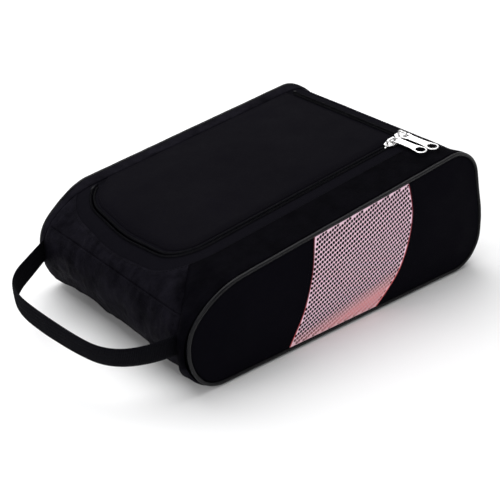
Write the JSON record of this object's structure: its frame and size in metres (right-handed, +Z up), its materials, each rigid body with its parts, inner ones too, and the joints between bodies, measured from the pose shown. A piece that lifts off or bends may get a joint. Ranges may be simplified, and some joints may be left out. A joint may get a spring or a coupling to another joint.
{
  "type": "golf shoe bag",
  "caption": "Wedge-shaped zipped shoe bag with a hinged padded lid, mesh side windows, piped edges and a webbing carry handle at its rounded nose.",
  "frame": {"origin": "on the floor under the middle of the bag's body, at the centre of its flat bottom", "axes": "+X towards the tall rear end, -X towards the nose and handle, +Z up, -Y the side with the zip's long run"},
  "size_m": [0.3947, 0.218, 0.1277],
  "materials": {
    "gusset_nylon": "woven nylon, slightly crinkled, satin",
    "side_nylon": "fine woven nylon, smooth",
    "pink_mesh": "open knitted mesh, matte",
    "piping": "cord covered in satin nylon",
    "binding_tape": "ribbed binding tape",
    "zip_tape": "woven zip tape",
    "zip_coil": "moulded coil",
    "nickel": "polished nickel plate",
    "board": "matte sheet",
    "lining": "plain taffeta",
    "lid_satin": "smooth satin nylon over foam",
    "foam": "soft closed-cell foam",
    "webbing": "ribbed woven webbing"
  },
  "bodies": {
    "shell": {"bottom_panel": "gusset_nylon", "rear_panel": "gusset_nylon", "rear_top_strip": "gusset_nylon", "near_top_gusset": "gusset_nylon", "far_top_gusset": "gusset_nylon", "upper_nose_panel": "gusset_nylon", "lower_nose_panel": "gusset_nylon", "near_front_panel": "side_nylon", "near_rear_panel": "side_nylon", "far_front_panel": "side_nylon", "far_rear_panel": "side_nylon", "near_mesh_window": "pink_mesh", "far_mesh_window": "pink_mesh", "near_piping": "piping", "far_piping": "piping", "near_seam_binding": "binding_tape", "far_seam_binding": "binding_tape", "shell_zip_tape": "zip_tape", "shell_zip_coil": "zip_coil", "front_zip_stop": "zip_coil", "rear_zip_stop": "zip_coil", "base_board": "board", "base_lining": "lining", "near_handle_end": "webbing", "far_handle_end": "webbing"},
    "lid": {"lid_panel": "lid_satin", "lid_foam": "foam", "lid_lining": "lining", "lid_binding": "binding_tape", "lid_zip_tape": "zip_tape", "lid_zip_coil": "zip_coil"},
    "slider_near": {"near_slider": "nickel", "near_slider_cap": "nickel"},
    "slider_rear": {"rear_slider": "nickel", "rear_slider_cap": "nickel"},
    "tab_near": {"near_pull_tab": "nickel"},
    "tab_rear": {"rear_pull_tab": "nickel"},
    "handle": {"handle_strap": "webbing"}
  },
  "joints": [
    {"name": "lid_hinge", "type": "hinge", "parent": "shell", "child": "lid", "pos_m": [0, 0.098, 0.1062], "axis": [-0.9909, 0, -0.1347], "range_deg": [0, 165]},
    {"name": "near_slider_run", "type": "slide", "parent": "shell", "child": "slider_near", "axis": [-0.9909, 0, -0.1347], "range_m": [0, 0.2]},
    {"name": "rear_slider_run", "type": "slide", "parent": "shell", "child": "slider_rear", "axis": [0, 1, 0], "range_m": [0, 0.13]},
    {"name": "near_tab_swivel", "type": "hinge", "parent": "slider_near", "child": "tab_near", "pos_m": [0.106, -0.054, 0.12303], "axis": [-0.1347, 0, 0.9909], "range_deg": [-50, 0]},
    {"name": "rear_tab_flip", "type": "hinge", "parent": "slider_rear", "child": "tab_rear", "pos_m": [0.1166, -0.0554, 0.12447], "axis": [-0.9909, 0, -0.1347], "range_deg": [0, 100]},
    {"name": "handle_swing", "type": "hinge", "parent": "shell", "child": "handle", "pos_m": [-0.167, 0, 0.0428], "axis": [0, 1, 0], "range_deg": [-30, 70]}
  ]
}
